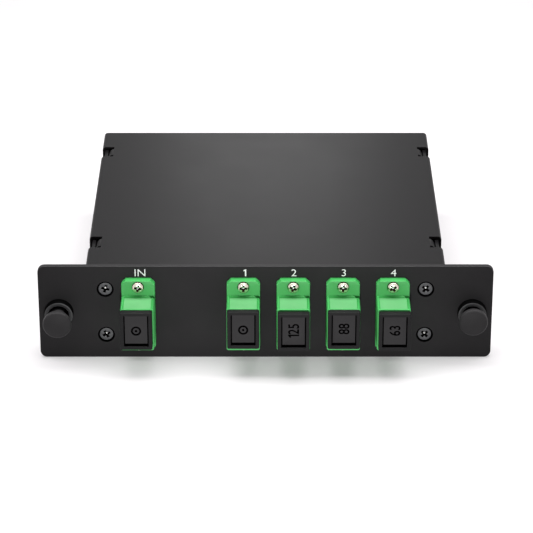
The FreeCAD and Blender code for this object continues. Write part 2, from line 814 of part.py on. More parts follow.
def panel_screws(doc):
    """Four countersunk screws through the panel into the tray's flanges, heads sunk below the face."""
    body = new_body(doc, "countersunk_screw")
    cone = "(panel_screw_head_radius - panel_screw_radius)"
    neck = "(countersink_radius - panel_screw_radius - head_seat_clearance)"
    sink = f"({neck} - {cone} - panel_screw_rim)"
    pad(body, "Y", sink, neck, shaft("panel_screw_head_radius", 16))
    dress(body, "Chamfer", cone, in_back_plane(body))
    pad(body, "Y", neck, f"{sink} + panel_screw_length", shaft("panel_screw_radius", 12))
    pocket(body, "Y", sink, f"{sink} + panel_screw_cross_depth",
           cross("panel_screw_cross", "panel_screw_cross_width"))
    places = [(across, PANEL_FRONT, f"{PANEL_MIDDLE} + {up}", turned)
              for (across, up), turned in zip(panel_screw_positions(), PANEL_SCREW_TURNS)]
    return group(doc, "panel_screws", body, places)


def ear_places(along, turns):
    """The ten holes in the adapters' ears."""
    holes = [(port, level) for port in PORTS for level in (1, -1)]
    return [(port_position(port), along, f"{PANEL_MIDDLE} + {level} * ear_hole_spacing / 2", turned)
            for (port, level), turned in zip(holes, turns)]


def adapter_screws(doc):
    """Ten pan-head screws through the adapters' ears and the panel."""
    body = new_body(doc, "pan_head_screw")
    seat = "-head_seat_clearance"
    crown = f"{seat} - adapter_screw_head_height"
    pad(body, "Y", crown, seat, shaft("adapter_screw_head_radius", 12))
    dress(body, "Chamfer", "adapter_screw_bevel", in_front_plane(body))
    pad(body, "Y", seat, "adapter_screw_length", shaft("adapter_screw_radius", 8))
    pocket(body, "Y", crown, f"{crown} + adapter_screw_cross_depth",
           cross("adapter_screw_cross", "adapter_screw_cross_width"))
    return group(doc, "adapter_screws", body,
                 ear_places(f"{PANEL_FRONT} - flange_thickness", ADAPTER_SCREW_TURNS))


def adapter_nuts(doc):
    """Ten hexagon nuts behind the panel."""
    body = new_body(doc, "hexagon_nut")
    back = "head_seat_clearance + nut_thickness"
    pad(body, "Y", "head_seat_clearance", back, bore("nut_across_flats / 2", 6))
    pocket(body, "Y", "head_seat_clearance", back, bore("adapter_screw_radius + thread_clearance", 8))
    return group(doc, "adapter_nuts", body, ear_places(PANEL_BACK, [0] * len(ADAPTER_SCREW_TURNS)))


# ---- Push-pull fasteners ----

def grommet(doc, label, side):
    """A collar on the panel's face and a barrel behind it, split into four legs."""
    body = new_body(doc, label, fastener_position(side), PANEL_FRONT, PANEL_MIDDLE)
    tip = "(panel_thickness + grommet_reach)"
    face = "-grommet_collar"
    throat = "plunger_radius + plunger_clearance"
    pad(body, "Y", face, "-head_seat_clearance", shaft("grommet_collar_radius", 32))
    dress(body, "Chamfer", "grommet_collar_bevel", in_front_plane(body))
    pad(body, "Y", "-head_seat_clearance", "panel_thickness", shaft("grommet_shoulder_radius", 24))
    pad(body, "Y", "panel_thickness", tip, disc("grommet_radius"))
    pocket(body, "Y", face, f"{face} + grommet_mouth_depth", bore("grommet_mouth_radius", 32))
    pocket(body, "Y", face, tip, bore(throat, 16))
    pocket(body, "Y", "panel_thickness", tip, bore("grommet_bore_radius", 16))
    slots = pocket(body, "Y", "panel_thickness + grommet_slot", f"{tip} + grommet_slot",
                   diagonal_slot("grommet_slot", "2 * grommet_radius"))
    polar_copies(body, slots, 4)
    return body


def plunger(doc, label, side, gap):
    """The knob, its stem and the head that spreads the legs, as one moulding."""
    along = f"{PANEL_FRONT} - grommet_collar - {gap}"
    body = new_body(doc, label, fastener_position(side), along, PANEL_MIDDLE)
    # At the end of its outward travel the head rests behind the grommet's throat.
    head = "(panel_thickness + grommet_collar + plunger_stroke + stop_gap)"
    turn(body, "Revolution", [("0", "-knob_thickness"),
                              ("knob_crown_radius", "-knob_thickness + knob_crown"),
                              ("knob_radius", "-knob_thickness + knob_edge"),
                              ("knob_radius", "-knob_back_bevel"),
                              ("knob_radius - knob_back_bevel", "0"),
                              ("0", "0")])
    pad(body, "Y", "0", head, shaft("plunger_radius", 16))
    pad(body, "Y", head, f"{head} + plunger_head_length",
        shaft("grommet_bore_radius - plunger_clearance", 16))
    return body


# ---- Inside the box ----

def splitter_module(doc):
    """The splitter's steel tube, closed at its ends by the boots."""
    body = new_body(doc, "splitter_module", "0", f"{PANEL_BACK} + splitter_setback",
                    "tray_sheet + pad_thickness")
    half = "splitter_length / 2"
    pad(body, "X", f"-{half}", half,
        box("-splitter_width / 2", "0", "splitter_width / 2", "splitter_height"))
    dress(body, "Fillet", "splitter_edge_radius", lambda edge: runs_along(edge, 0))
    return body


def splitter_boot(doc, label, side):
    """A soft boot where the fibres leave the tube, tapering away from it."""
    body = new_body(doc, label, f"{side} * splitter_length / 2", f"{PANEL_BACK} + splitter_setback",
                    "tray_sheet + pad_thickness + splitter_height / 2")
    tip = f"{side} * boot_length"

    def plan(sketch):
        add_polygon(sketch, [("0", "-boot_width / 2"), (tip, "-boot_tip_width / 2"),
                             (tip, "boot_tip_width / 2"), ("0", "boot_width / 2")])

    def wedge(sketch, level):
        add_polygon(sketch, [("0", f"{level} * boot_height / 2"), (tip, f"{level} * boot_tip_height / 2"),
                             (tip, f"{level} * boot_height / 2")])

    pad(body, "Z", "-boot_height / 2", "boot_height / 2", plan)
    for level in (-1, 1):
        pocket(body, "Y", "-boot_width / 2", "boot_width / 2", lambda sketch: wedge(sketch, level))
    return body


def adhesive_pad(doc):
    """Foam tape that holds the splitter to the tray's floor."""
    body = new_body(doc, "adhesive_pad", "0", f"{PANEL_BACK} + splitter_setback", "tray_sheet")
    pad(body, "Z", "0", "pad_thickness", centred_box("pad_length", "splitter_width"))
    return body


def fibre_guides(doc):
    """Four open rings on stuck-down bases, for the coiled fibre."""
    body = new_body(doc, "fibre_guide")
    pad(body, "Z", "0", "guide_base_thickness", centred_box("guide_base", "guide_base"))
    middle = "(guide_base_thickness + guide_radius - guide_wall / 2)"
    start = "-guide_width / 2"
    end = "guide_width / 2"
    pad(body, "Y", start, end, shaft("guide_radius", 16, "0", middle))
    pocket(body, "Y", start, end, bore("guide_radius - guide_wall", 16, "0", middle))
    pocket(body, "Y", start, end,
           box("-guide_opening / 2", middle, "guide_opening / 2", f"{middle} + 2 * guide_radius"))
    places = [(f"{side} * guide_spacing_across / 2",
               f"{PANEL_BACK} + guide_first + {row} * guide_spacing_along", "tray_sheet", 0)
              for side in (-1, 1) for row in (0, 1)]
    return group(doc, "fibre_guides", body, places)


def build_parts(doc):
    parts = [front_panel(doc), base_tray(doc), top_cover(doc), panel_screws(doc)]
    for port in PORTS:
        parts += [adapter(doc, port), latch_insert(doc, port, -1), latch_insert(doc, port, 1),
                  split_sleeve(doc, port), dust_cap(doc, port)]
    parts += [adapter_screws(doc), adapter_nuts(doc)]
    for label, side, gap in (("left", -1, "left_knob_gap"), ("right", 1, "right_knob_gap")):
        parts += [grommet(doc, f"{label}_grommet", side), plunger(doc, f"{label}_plunger", side, gap)]
    parts += [splitter_module(doc), splitter_boot(doc, "splitter_input_boot", -1),
              splitter_boot(doc, "splitter_output_boot", 1), adhesive_pad(doc), fibre_guides(doc)]
    return parts


def check_document(doc):
    for item in doc.Objects:
        bad = [word for word in item.State if word in ("Invalid", "Error")]
        if bad:
            raise RuntimeError(f"{item.Label} ({item.Name}): {bad}")
        if item.TypeId in ("PartDesign::Pocket", "PartDesign::Groove", "PartDesign::Hole"):
            if item.Shape.Volume > item.BaseFeature.Shape.Volume - 1e-6:
                raise RuntimeError(f"{item.Name} of {item.getParentGeoFeatureGroup().Label} cuts nothing")


def write_parts(doc, parts):
    os.makedirs("parts", exist_ok=True)
    for part in parts:
        shape = part.Shape
        if shape.isNull() or not shape.isValid():
            raise RuntimeError(f"{part.Label} has a null or invalid shape")
        shape.exportStep(os.path.join("parts", f"{part.Label}.step"))
        print(part.Label, len(shape.Solids), "solids", round(shape.Volume, 2), "mm3")


def main():
    doc = FreeCAD.newDocument("FibreCassette")
    make_sheet(doc)
    parts = build_parts(doc)
    doc.recompute()
    check_document(doc)
    write_parts(doc, parts)


main()
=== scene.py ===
import json
import math
import bmesh
import bpy
from mathutils import Matrix, Vector


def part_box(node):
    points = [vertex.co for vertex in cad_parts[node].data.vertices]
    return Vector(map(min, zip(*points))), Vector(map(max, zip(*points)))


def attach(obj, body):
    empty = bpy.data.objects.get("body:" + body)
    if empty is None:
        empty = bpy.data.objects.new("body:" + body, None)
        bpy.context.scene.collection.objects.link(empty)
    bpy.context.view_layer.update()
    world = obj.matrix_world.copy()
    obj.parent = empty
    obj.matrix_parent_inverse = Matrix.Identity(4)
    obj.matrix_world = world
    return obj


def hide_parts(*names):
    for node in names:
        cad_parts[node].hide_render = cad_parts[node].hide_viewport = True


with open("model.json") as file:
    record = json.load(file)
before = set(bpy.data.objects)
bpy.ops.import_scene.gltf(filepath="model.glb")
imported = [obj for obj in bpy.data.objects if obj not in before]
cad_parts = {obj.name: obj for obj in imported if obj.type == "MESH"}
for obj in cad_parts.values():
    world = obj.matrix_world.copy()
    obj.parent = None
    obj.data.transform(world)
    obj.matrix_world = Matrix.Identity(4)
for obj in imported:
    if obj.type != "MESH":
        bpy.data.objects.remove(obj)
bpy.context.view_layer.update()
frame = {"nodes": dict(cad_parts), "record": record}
nodes = frame["nodes"]
ports = ("in", "1", "2", "3", "4")
mm = 0.001
print("frame loaded:", len(nodes), "nodes")

# where the pieces stand, read from the frame
panelLow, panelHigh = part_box("front_panel")
panelFront = panelLow.y
panelBack = panelHigh.y
panelMiddle = (panelLow.z + panelHigh.z) / 2


def middleOf(node):
    low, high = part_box(node)
    return (low + high) / 2


# small tools for meshes: a crease is sharper than creaseAngle and a flat face bends less than
# flatAngle, both in degrees, and points within a weld are one point
creaseAngle = 32
flatAngle = 0.5
cadWeld = 0.001 * mm
letterWeld = 0.0005 * mm


def newPiece(name, mesh, material, body="cassette"):
    # a mesh whose cuts have their own finish already carries its materials
    piece = bpy.data.objects.new(name, mesh)
    bpy.context.scene.collection.objects.link(piece)
    if len(mesh.materials) < 2:
        mesh.materials.clear()
        mesh.materials.append(material)
    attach(piece, body)
    return piece


def smooth(mesh, degrees=creaseAngle):
    # smooth shading with sharp creases
    mesh.shade_smooth()
    mesh.set_sharp_from_angle(angle=math.radians(degrees))


def bakeModifiers(piece):
    graph = bpy.context.evaluated_depsgraph_get()
    baked = bpy.data.meshes.new_from_object(piece.evaluated_get(graph), depsgraph=graph)
    piece.modifiers.clear()
    piece.data = baked


def tempObject(mesh):
    holder = bpy.data.objects.new("temp", mesh)
    bpy.context.scene.collection.objects.link(holder)
    return holder


def eased(mesh, width, segments=2, degrees=creaseAngle):
    # a small round along every crease
    holder = tempObject(mesh)
    bevel = holder.modifiers.new("edges", "BEVEL")
    bevel.width = width
    bevel.segments = segments
    bevel.limit_method = "ANGLE"
    bevel.angle_limit = math.radians(degrees)
    bevel.use_clamp_overlap = True
    bakeModifiers(holder)
    result = holder.data
    bpy.data.objects.remove(holder)
    smooth(result, degrees)
    return flattened(result)


def flattened(mesh):
    # large faces keep their flat shading beside the narrow rounded edges
    holder = tempObject(mesh)
    weights = holder.modifiers.new("weights", "WEIGHTED_NORMAL")
    weights.mode = "FACE_AREA"
    weights.weight = 100
    weights.keep_sharp = True
    bakeModifiers(holder)
    result = holder.data
    bpy.data.objects.remove(holder)
    return result


def cutFrom(mesh, cutters, operation="DIFFERENCE"):
    # the walls of a cut take the cutter's material
    holder = tempObject(mesh)
    tools = []
    for cutter in cutters:
        tool = tempObject(cutter)
        tools.append(tool)
        cut = holder.modifiers.new("cut", "BOOLEAN")
        cut.operation = operation
        cut.solver = "EXACT"
        cut.material_mode = "TRANSFER"
        cut.object = tool
    bpy.context.view_layer.update()
    bakeModifiers(holder)
    result = holder.data
    for spare in tools + [holder]:
        bpy.data.objects.remove(spare)
    return result


def cadCopy(node):
    # the CAD triangles of a flat face become one face again
    mesh = nodes[node].data.copy()
    work = bmesh.new()
    work.from_mesh(mesh)
    bmesh.ops.remove_doubles(work, verts=work.verts, dist=cadWeld)
    bmesh.ops.dissolve_limit(work, angle_limit=math.radians(flatAngle), verts=work.verts,
                             edges=work.edges)
    bmesh.ops.recalc_face_normals(work, faces=work.faces)
    work.to_mesh(mesh)
    work.free()
    return mesh


def latheMesh(name, profile, segments):
    # turns (radius, distance) points about the Y axis; a radius of 0 closes the end
    work = bmesh.new()
    rings = []
    turns = [2 * math.pi * step / segments for step in range(segments)]
    for radius, distance in profile:
        if radius == 0:
            rings.append([work.verts.new((0, distance, 0))])
        else:
            rings.append([work.verts.new((radius * math.cos(t), distance, radius * math.sin(t)))
                          for t in turns])
    for near, far in zip(rings, rings[1:] + rings[:1]):
        if len(near) == 1 and len(far) == 1:
            continue
        for step in range(segments):
            after = (step + 1) % segments
            corners = [near[step % len(near)], near[after % len(near)],
                       far[after % len(far)], far[step % len(far)]]
            work.faces.new(list(dict.fromkeys(corners)))
    bmesh.ops.recalc_face_normals(work, faces=work.faces)
    mesh = bpy.data.meshes.new(name)
    work.to_mesh(mesh)
    work.free()
    return mesh


def drumMesh(name, radius, start, end, segments):
    # a closed round bar along Y
    return latheMesh(name, [(0, start), (radius, start), (radius, end), (0, end)], segments)


def ringsMesh(name, rings):
    # closed solid through outlines of as many points each
    work = bmesh.new()
    loops = [[work.verts.new(point) for point in ring] for ring in rings]
    work.faces.new(loops[0])
    work.faces.new(loops[-1][::-1])
    count = len(loops[0])
    for near, far in zip(loops, loops[1:]):
        for step in range(count):
            after = (step + 1) % count
            work.faces.new([near[step], far[step], far[after], near[after]])
    bmesh.ops.recalc_face_normals(work, faces=work.faces)
    mesh = bpy.data.meshes.new(name)
    work.to_mesh(mesh)
    work.free()
    return mesh


def prismMesh(name, outline, low, high):
    # an outline of (x, z) points run along Y
    return ringsMesh(name, [[(x, y, z) for x, z in outline] for y in (low, high)])


def oblong(width, height, corner=0.0, rise=0.0):
    # outline of (x, z) points with its corners cut off
    x, z = width / 2, height / 2
    if corner == 0:
        return [(-x, rise - z), (x, rise - z), (x, rise + z), (-x, rise + z)]
    return [(corner - x, rise - z), (x - corner, rise - z),
            (x, rise + corner - z), (x, rise + z - corner),
            (x - corner, rise + z), (corner - x, rise + z),
            (-x, rise + z - corner), (-x, rise + corner - z)]


def blockMesh(name, low, high):
    # a box between two corners
    outline = [(low[0], low[2]), (high[0], low[2]), (high[0], high[2]), (low[0], high[2])]
    return prismMesh(name, outline, low[1], high[1])


def painted(mesh, material):
    mesh.materials.clear()
    mesh.materials.append(material)
    return mesh


def moved(mesh, place):
    # a copy of the mesh, turned and shifted by a matrix
    copy = mesh.copy()
    copy.transform(place)
    return copy


def joined(name, meshes):
    # one mesh with the first one's materials
    work = bmesh.new()
    for mesh in meshes:
        work.from_mesh(mesh)
    result = bpy.data.meshes.new(name)
    work.to_mesh(result)
    work.free()
    for material in meshes[0].materials:
        result.materials.append(material)
    return result


def textMesh(name, words, height, depth, bold=0.0):
    # letters of one height standing in the XZ plane, facing -Y, centred on the origin
    curve = bpy.data.curves.new(name, "FONT")
    curve.body = words
    curve.align_x = "CENTER"
    curve.resolution_u = 6
    curve.offset = bold
    curve.extrude = 0.5
    holder = bpy.data.objects.new(name, curve)
    bpy.context.scene.collection.objects.link(holder)
    graph = bpy.context.evaluated_depsgraph_get()
    mesh = bpy.data.meshes.new_from_object(holder.evaluated_get(graph), depsgraph=graph)
    bpy.data.objects.remove(holder)
    xs = [vertex.co.x for vertex in mesh.vertices]
    ys = [vertex.co.y for vertex in mesh.vertices]
    scale = height / (max(ys) - min(ys))
    centre = Matrix.Translation((-(max(xs) + min(xs)) / 2, -(max(ys) + min(ys)) / 2, 0))
    grow = Matrix.Diagonal((scale, scale, depth, 1))
    stand = Matrix.Rotation(math.radians(90), 4, "X")
    mesh.transform(stand @ grow @ centre)
    work = bmesh.new()
    work.from_mesh(mesh)
    bmesh.ops.remove_doubles(work, verts=work.verts, dist=letterWeld)
    bmesh.ops.recalc_face_normals(work, faces=work.faces)
    work.to_mesh(mesh)
    work.free()
    return mesh


def colour(hexText):
    # sRGB hex to linear RGBA
    parts = [int(hexText[place:place + 2], 16) / 255 for place in (1, 3, 5)]
    return [part / 12.92 if part <= 0.04045 else ((part + 0.055) / 1.055) ** 2.4
            for part in parts] + [1]


def addNode(tree, kind, inputs=None, **settings):
    node = tree.nodes.new(kind)
    for name, value in settings.items():
        setattr(node, name, value)
    for socket, value in (inputs or {}).items():
        if isinstance(value, bpy.types.NodeSocket):
            tree.links.new(value, node.inputs[socket])
        else:
            node.inputs[socket].default_value = value
    return node


def perMetre(sizeMm):
    # a noise's scale from the size of its spots in millimetres
    return 1 / (sizeMm * mm)


def startMaterial(name, spec):
    material = bpy.data.materials.new(name)
    material.use_nodes = True
    material.diffuse_color = colour(spec["colour"])
    tree = material.node_tree
    tree.nodes.clear()
    place = addNode(tree, "ShaderNodeTexCoord").outputs["Object"]
    shader = addNode(tree, "ShaderNodeBsdfPrincipled",
                     {"Metallic": spec.get("metallic", 0.0),
                      "Specular IOR Level": spec.get("sheen", 0.5)})
    if "ior" in spec:
        shader.inputs["IOR"].default_value = spec["ior"]
    addNode(tree, "ShaderNodeOutputMaterial", {"Surface": shader.outputs["BSDF"]})
    return material, tree, place, shader


# a noise keeps near its middle, so this part of it is spread over the whole range
noiseSpan = {"From Min": 0.3, "From Max": 0.7}
patchNoise = {"Detail": 3.0, "Roughness": 0.55}
grainNoise = {"Detail": 2.0, "Roughness": 0.5}


def mottle(tree, place, shader, spec):
    # slow changes of tone and of gloss over the surface
    patches = addNode(tree, "ShaderNodeTexNoise",
                      dict(patchNoise, Vector=place, Scale=perMetre(spec["patchMm"])))
    tone = addNode(tree, "ShaderNodeMapRange", dict(noiseSpan, Value=patches.outputs["Fac"]))
    blend = addNode(tree, "ShaderNodeMix",
                    {"Factor": tone.outputs["Result"], "A": colour(spec["shade"]),
                     "B": colour(spec["colour"])}, data_type="RGBA")
    tree.links.new(blend.outputs["Result"], shader.inputs["Base Color"])
    gloss = addNode(tree, "ShaderNodeMapRange",
                    noiseSpan | {"Value": patches.outputs["Fac"], "To Min": spec["roughLow"],
                                 "To Max": spec["roughHigh"]})
    tree.links.new(gloss.outputs["Result"], shader.inputs["Roughness"])


def grain(tree, place, shader, spec):
    # a fine relief of even grains
    grains = addNode(tree, "ShaderNodeTexNoise",
                     dict(grainNoise, Vector=place, Scale=perMetre(spec["grainMm"])))
    relief = addNode(tree, "ShaderNodeBump",
                     {"Height": grains.outputs["Fac"], "Strength": spec["grainStrength"],
                      "Distance": spec["grainDepthMm"] * mm})
    tree.links.new(relief.outputs["Normal"], shader.inputs["Normal"])


def finished(name, spec):
    # a whole finish: its tone and gloss, and the relief over them
    material, tree, place, shader = startMaterial(name, spec)
    mottle(tree, place, shader, spec)
    grain(tree, place, shader, spec)
    return material


# sizes in millimetres; the grain of a mould, a plate or a print is finer than 0.1 mm, and is drawn
# this coarse so that it shows

# polyester powder coat baked on steel: a satin black skin of melted grains, a little bumpy
powderCoat = {"colour": "#2b2a2b", "shade": "#282728", "sheen": 0.05, "patchMm": 9,
              "roughLow": 0.46, "roughHigh": 0.5, "grainMm": 0.32, "grainDepthMm": 0.02,
              "grainStrength": 0.35}
# the same coat along the panel's top front edge, painted paler and glossier as a highlight
highlightCoat = dict(powderCoat, colour="#454445", shade="#3e3d3e", sheen=0.5, roughLow=0.36,
                roughHigh=0.42)
# the panel's coat on the folded cover and tray, painted darker as shade against the lamps' sheen on
# the cover, and smoother
shadedCoverCoat = dict(powderCoat, colour="#151415", shade="#131213", sheen=0.05, patchMm=14,
                 roughLow=0.36, roughHigh=0.39)
# black oxide on machined steel: thin, dark and oily, with the metal's own gloss
blackOxide = {"colour": "#47474a", "shade": "#3c3c3f", "patchMm": 0.8, "roughLow": 0.3,
              "roughHigh": 0.4, "grainMm": 0.15, "grainDepthMm": 0.005, "grainStrength": 0.2}
# the driver recess of a blackened screw, painted near black as the shade in its punched corners
shadedRecess = dict(blackOxide, colour="#050505", shade="#030303", sheen=0.0, roughLow=0.5,
                   roughHigh=0.6)
# the countersink in the panel, painted near black as the shade in its cone
countersinkShade = dict(blackOxide, colour="#050505", shade="#030303", sheen=0.0, roughLow=0.6,
                        roughHigh=0.7)
# bright steel painted at the bottom of a recess as a glint
glintTip = {"colour": "#cfcfcc", "shade": "#b9b9b6", "patchMm": 0.3, "roughLow": 0.25,
           "roughHigh": 0.35, "grainMm": 0.1, "grainDepthMm": 0.002, "grainStrength": 0.2,
           "metallic": 1.0}
# moulded green PBT: dense colour with a soft even sheen off the polished mould
greenPbt = {"colour": "#3ea452", "shade": "#389e4c", "sheen": 0.45, "patchMm": 5, "roughLow": 0.48,
            "roughHigh": 0.52, "grainMm": 0.25, "grainDepthMm": 0.006, "grainStrength": 0.25}
# the same plastic on the walls of a sunk panel, which face away from the light
greenWall = dict(greenPbt, colour="#2a8a3d", shade="#268237", sheen=0.3)
# the floor of a sunk panel, a little paler
greenFloor = dict(greenPbt, colour="#5ba065", shade="#569b60")
# moulded black polyethylene: soft and waxy, from a spark-eroded mould
capPlastic = {"colour": "#0d0d0e", "shade": "#0b0b0c", "sheen": 0.14, "patchMm": 3,
              "roughLow": 0.42, "roughHigh": 0.5, "grainMm": 0.2, "grainDepthMm": 0.01,
              "grainStrength": 0.3}
# the sunk face of a cap, duller, and painted lighter than the frame round it as the light it
# catches
litCapFace = dict(capPlastic, colour="#2d2c2d", shade="#2a292a", roughLow=0.6, roughHigh=0.68)
# deep grooves and engraved figures of a cap, where no light gets
capGroove = dict(capPlastic, colour="#040404", shade="#030303", sheen=0.0, roughLow=0.6,
                 roughHigh=0.7)
# moulded black nylon: filled with glass, so its skin is smooth but dull
knobNylon = {"colour": "#2b2a2b", "shade": "#272627", "sheen": 0.12, "patchMm": 4, "roughLow": 0.5,
             "roughHigh": 0.56, "grainMm": 0.3, "grainDepthMm": 0.006, "grainStrength": 0.25}
# the same nylon on the ring that faces the room, painted paler as the light that falls on it
litRingNylon = dict(knobNylon, colour="#454546", shade="#3f3f40", sheen=0.3)
# and on the side and the throat of the ring, where the knob shades it
throatNylon = dict(knobNylon, colour="#0a0a0a", shade="#080808", sheen=0.0)
# nickel plate on headed steel: bright and warm, and faintly uneven
nickelSteel = {"colour": "#e2dccd", "shade": "#d2cbba", "patchMm": 0.7, "roughLow": 0.16,
               "roughHigh": 0.24, "grainMm": 0.12, "grainDepthMm": 0.004, "grainStrength": 0.3,
               "metallic": 1.0}
# the driver recess of a nickel screw, painted dark brown as shade; the head's rim takes it too, as
# the painted reflection of the port's walls
nickelRecessShade = dict(nickelSteel, colour="#241a10", shade="#1a120a", roughLow=0.35, roughHigh=0.45)
# moulded natural PBT: off-white and dull, inside the ports
whitePbt = {"colour": "#d6d4cc", "shade": "#cdcbc2", "patchMm": 3, "roughLow": 0.45,
            "roughHigh": 0.55, "grainMm": 0.25, "grainDepthMm": 0.006, "grainStrength": 0.2}
# ground zirconia: white, dense and almost polished
zirconia = {"colour": "#eceae4", "shade": "#e6e3dc", "patchMm": 2, "roughLow": 0.12,
            "roughHigh": 0.2, "grainMm": 0.1, "grainDepthMm": 0.002, "grainStrength": 0.2,
            "ior": 2.1}
# drawn stainless tube: grey, with soft uneven marks
drawnSteel = {"colour": "#b9b8b5", "shade": "#a9a8a5", "patchMm": 1.2, "roughLow": 0.28,
              "roughHigh": 0.4, "grainMm": 0.2, "grainDepthMm": 0.004, "grainStrength": 0.25,
              "metallic": 1.0}
# moulded rubber: dull and dark grey
bootRubber = {"colour": "#232323", "shade": "#1e1e1e", "patchMm": 2, "roughLow": 0.6,
              "roughHigh": 0.7, "grainMm": 0.3, "grainDepthMm": 0.02, "grainStrength": 0.3}
# foam tape: pale and matt, with open cells
foamTape = {"colour": "#d9d8d2", "shade": "#cac9c2", "patchMm": 1, "roughLow": 0.8,
            "roughHigh": 0.9, "grainMm": 0.4, "grainDepthMm": 0.1, "grainStrength": 0.6}
# moulded natural nylon: milky and slightly glossy
clearNylon = {"colour": "#dedcd3", "shade": "#d5d3ca", "patchMm": 3, "roughLow": 0.35,
              "roughHigh": 0.45, "grainMm": 0.3, "grainDepthMm": 0.006, "grainStrength": 0.2}
# screen-printed epoxy ink: flat white, with a faint grain
printInk = {"colour": "#f1f1f1", "shade": "#e9e9e9", "patchMm": 0.5, "roughLow": 0.5,
            "roughHigh": 0.6, "grainMm": 0.1, "grainDepthMm": 0.004, "grainStrength": 0.2}

panelPaint = finished("panelPowderCoat", powderCoat)
edgeHighlightPaint = finished("highlightPowderCoat", highlightCoat)
shadedCoverPaint = finished("shadedCoverPowderCoat", shadedCoverCoat)
screwBlack = finished("blackOxideSteel", blackOxide)
greenPlastic = finished("mouldedGreenPbt", greenPbt)
greenSide = finished("mouldedGreenWall", greenWall)
greenPanel = finished("mouldedGreenFloor", greenFloor)
recessShade = finished("shadedScrewRecess", shadedRecess)
sinkShade = finished("countersinkShade", countersinkShade)
glintSteel = finished("paintedGlintSteel", glintTip)
capBlack = finished("mouldedBlackPolyethylene", capPlastic)
capFaceLight = finished("paintedLightBlackPolyethylene", litCapFace)
capDeep = finished("deepBlackPolyethylene", capGroove)
knobBlack = finished("mouldedBlackNylon", knobNylon)
ringLight = finished("paintedLightBlackNylon", litRingNylon)
throatBlack = finished("shadedBlackNylon", throatNylon)
nickel = finished("nickelPlatedSteel", nickelSteel)
brownShade = finished("nickelPaintedShade", nickelRecessShade)
insertWhite = finished("mouldedWhitePbt", whitePbt)
ceramic = finished("groundZirconia", zirconia)
splitterSteel = finished("drawnStainlessTube", drawnSteel)
rubber = finished("mouldedRubber", bootRubber)
foam = finished("foamTape", foamTape)
nylon = finished("mouldedNaturalNylon", clearNylon)
ink = finished("screenPrintedInk", printInk)
print("materials made")

# every CAD node gets the finish of its slot, and a piece that stands for one takes it over
slotMaterials = {"panel_paint": panelPaint, "housing_paint": shadedCoverPaint, "black_screw": screwBlack,
                 "green_plastic": greenPlastic, "insert_plastic": insertWhite,
                 "sleeve_ceramic": ceramic, "cap_plastic": capBlack, "screw_steel": nickel,
                 "fastener_plastic": knobBlack, "splitter_steel": splitterSteel,
                 "boot_rubber": rubber, "foam_tape": foam, "guide_plastic": nylon}
nodeSlots = {part["node"]: part["material_slot"] for part in frame["record"]["subparts"]}
bodyOf = {node: body for body, members in frame["record"]["behaviour"]["bodies"].items()
          for node in members}
for node, slot in nodeSlots.items():
    nodes[node].data.materials.clear()
    nodes[node].data.materials.append(slotMaterials[slot])


def standIn(node, name, mesh):
    slot = nodeSlots[node]
    piece = newPiece(name, mesh, slotMaterials[slot], bodyOf[node])
    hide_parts(node)


# sheet metal, with its sheared and folded edges eased; flatFront and highlightSlope are parts of a
# face's normal, and highlightBand is how far below the top edge the painted highlight reaches
sheet = {"panelEase": 0.18 * mm, "coverEase": 0.12 * mm, "trayEase": 0.1 * mm, "easeSteps": 3,
         "flatFront": -0.95, "highlightSlope": 0.3, "highlightBand": 1.0 * mm}
countersink = {"screwRadius": 1.95 * mm, "reach": 2.45 * mm}


def panelMesh():
    # painted shade in the countersinks round the screws, and a painted highlight along the top
    # front edge
    mesh = eased(cadCopy("front_panel"), sheet["panelEase"], sheet["easeSteps"])
    painted(mesh, panelPaint)
    mesh.materials.append(sinkShade)
    mesh.materials.append(edgeHighlightPaint)
    low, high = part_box("panel_screws")
    inset = countersink["screwRadius"]
    holes = [(x, z) for x in (low.x + inset, high.x - inset)
             for z in (low.z + inset, high.z - inset)]
    for face in mesh.polygons:
        centre = face.center
        fromHole = min(math.hypot(centre.x - x, centre.z - z) for x, z in holes)
        slanted = face.normal.z > sheet["highlightSlope"] and face.normal.y < -sheet["highlightSlope"]
        # faces in the countersinks get the painted shade
        if fromHole < countersink["reach"] and face.normal.y > sheet["flatFront"]:
            face.material_index = 1
        # faces sloping up and forward along the top get the painted highlight
        elif slanted and centre.z > panelHigh.z - sheet["highlightBand"]:
            face.material_index = 2
    return mesh


standIn("front_panel", "frontPanel", panelMesh())
standIn("top_cover", "topCover", eased(cadCopy("top_cover"), sheet["coverEase"]))
standIn("base_tray", "baseTray", eased(cadCopy("base_tray"), sheet["trayEase"]))
print("sheet metal made")

# ports: the moulded tube and its ear plate; each broad side has a sunk panel, the inset, with a
# margin round it, a nick at its corner and a shallow scallop before the ear
adapter = {"width": 9.4 * mm, "height": 12.9 * mm, "front": 11.4 * mm, "rear": 15.4 * mm,
           "wall": 0.9 * mm, "lip": 3.0 * mm, "corner": 0.35 * mm, "earWidth": 9.5 * mm,
           "earHeight": 22.0 * mm, "earThickness": 2.4 * mm, "earCorner": 1.2 * mm,
           "mouthWidth": 7.6 * mm, "mouthHeight": 9.2 * mm, "margin": 0.85 * mm,
           "inset": 0.42 * mm, "holeRadius": 1.15 * mm, "holeSpacing": 18.3 * mm,
           "scallopRadius": 16 * mm, "scallopDepth": 0.22 * mm, "scallopLength": 0.3 * mm,
           "nick": 1.9 * mm, "nickDepth": 0.7 * mm, "keyWidth": 3.0 * mm, "keyDepth": 0.45 * mm,
           "ease": 0.16 * mm, "draft": 0.6 * mm, "easeSteps": 3, "holeFacets": 40,
           "scallopFacets": 180}


